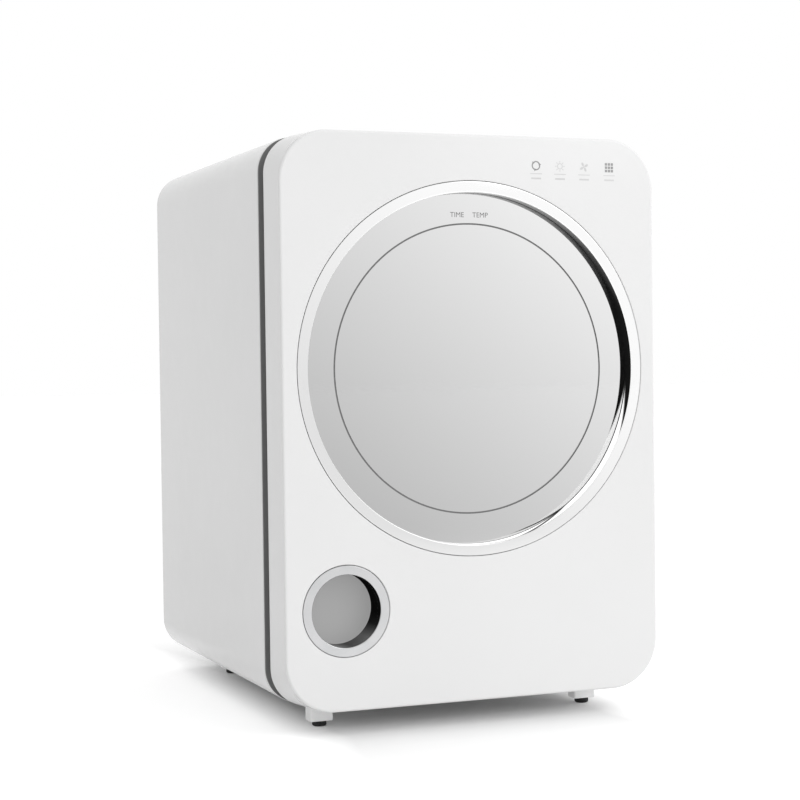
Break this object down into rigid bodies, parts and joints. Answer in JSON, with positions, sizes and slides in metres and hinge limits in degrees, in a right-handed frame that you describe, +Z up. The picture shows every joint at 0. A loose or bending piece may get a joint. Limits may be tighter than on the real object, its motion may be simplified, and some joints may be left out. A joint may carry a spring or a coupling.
{
  "type": "countertop ultraviolet steriliser cabinet",
  "caption": "White round-cornered countertop steriliser and dryer with a side-hung door, round mirror window in a bright ring, finger pull, steel chamber with wire racks, tubes and fan.",
  "frame": {"origin": "bottom centre of the whole part, on the table under the foot pads", "axes": "+Z up, the door faces -Y, +X is the viewer's right (hinge side)"},
  "size_m": [0.3, 0.35, 0.436],
  "materials": {
    "white_shell": "gloss",
    "dark_frame": "satin",
    "sheet_steel": "brushed",
    "wire_steel": "polished",
    "lamp_glass": "clear",
    "white_socket": "matte",
    "fan_plastic": "matte",
    "motor_metal": "satin",
    "heater_metal": "oxidised",
    "board_green": "satin",
    "filter_foam": "open foam",
    "screw_steel": "plated",
    "foot_grey": "matte",
    "pad_rubber": "matte",
    "hinge_steel": "plated",
    "pane_glass": "clear",
    "seal_rubber": "matte",
    "bright_trim": "polished",
    "half_mirror": "half mirror",
    "cup_grey": "satin",
    "magnet_iron": "plain"
  },
  "bodies": {
    "cabinet": {"outer_shell": "white_shell", "front_frame": "dark_frame", "rear_cover": "white_shell", "chamber_liner": "sheet_steel", "chamber_back": "sheet_steel", "rail_left": "sheet_steel", "rail_right": "sheet_steel", "upper_lamp_tube": "lamp_glass", "upper_lamp_socket_left": "white_socket", "upper_lamp_socket_right": "white_socket", "rear_lamp_tube": "lamp_glass", "rear_lamp_socket_left": "white_socket", "rear_lamp_socket_right": "white_socket", "fan_guard": "sheet_steel", "fan_housing": "fan_plastic", "fan_motor": "motor_metal", "heater_ring": "heater_metal", "power_board": "board_green", "lamp_ballast": "motor_metal", "power_inlet": "fan_plastic", "rear_screw_upper_left": "screw_steel", "rear_screw_upper_right": "screw_steel", "rear_screw_lower_left": "screw_steel", "rear_screw_lower_right": "screw_steel", "foot_front_left": "foot_grey", "foot_front_right": "foot_grey", "foot_rear_left": "foot_grey", "foot_rear_right": "foot_grey", "pad_front_left": "pad_rubber", "pad_front_right": "pad_rubber", "pad_rear_left": "pad_rubber", "pad_rear_right": "pad_rubber", "body_leaf_upper": "hinge_steel", "body_leaf_lower": "hinge_steel", "hinge_pin_upper": "hinge_steel", "hinge_pin_lower": "hinge_steel", "catch_plate_upper": "hinge_steel", "catch_plate_lower": "hinge_steel"},
    "door": {"door_panel": "white_shell", "door_liner": "white_shell", "door_reflector": "sheet_steel", "door_pane": "pane_glass", "door_seal": "seal_rubber", "window_ring": "bright_trim", "window_mirror": "half_mirror", "handle_ring": "bright_trim", "handle_cup": "cup_grey", "touch_board": "board_green", "display_board": "board_green", "magnet_upper": "magnet_iron", "magnet_lower": "magnet_iron", "door_leaf_upper": "hinge_steel", "door_leaf_lower": "hinge_steel"},
    "fan": {"fan_impeller": "fan_plastic"},
    "filter": {"filter_cover": "white_shell", "air_filter": "filter_foam"},
    "upper_shelf": {"upper_rack": "wire_steel"},
    "lower_shelf": {"lower_rack": "wire_steel"},
    "tray": {"drip_tray": "sheet_steel"}
  },
  "joints": [
    {"name": "door_swing", "type": "hinge", "parent": "cabinet", "child": "door", "pos_m": [0.146, -0.1325, 0.227], "axis": [0, 0, 1], "range_deg": [0, 110]},
    {"name": "fan_spin", "type": "hinge", "parent": "cabinet", "child": "fan", "pos_m": [0, 0.1174, 0.275], "axis": [0, 1, 0], "continuous": true},
    {"name": "filter_pull", "type": "slide", "parent": "cabinet", "child": "filter", "axis": [0, 1, 0], "range_m": [0, 0.024]},
    {"name": "upper_rack_slide", "type": "slide", "parent": "cabinet", "child": "upper_shelf", "axis": [0, -1, 0], "range_m": [0, 0.016]},
    {"name": "lower_rack_slide", "type": "slide", "parent": "cabinet", "child": "lower_shelf", "axis": [0, -1, 0], "range_m": [0, 0.016]},
    {"name": "tray_slide", "type": "slide", "parent": "cabinet", "child": "tray", "axis": [0, -1, 0], "range_m": [0, 0.016]}
  ]
}
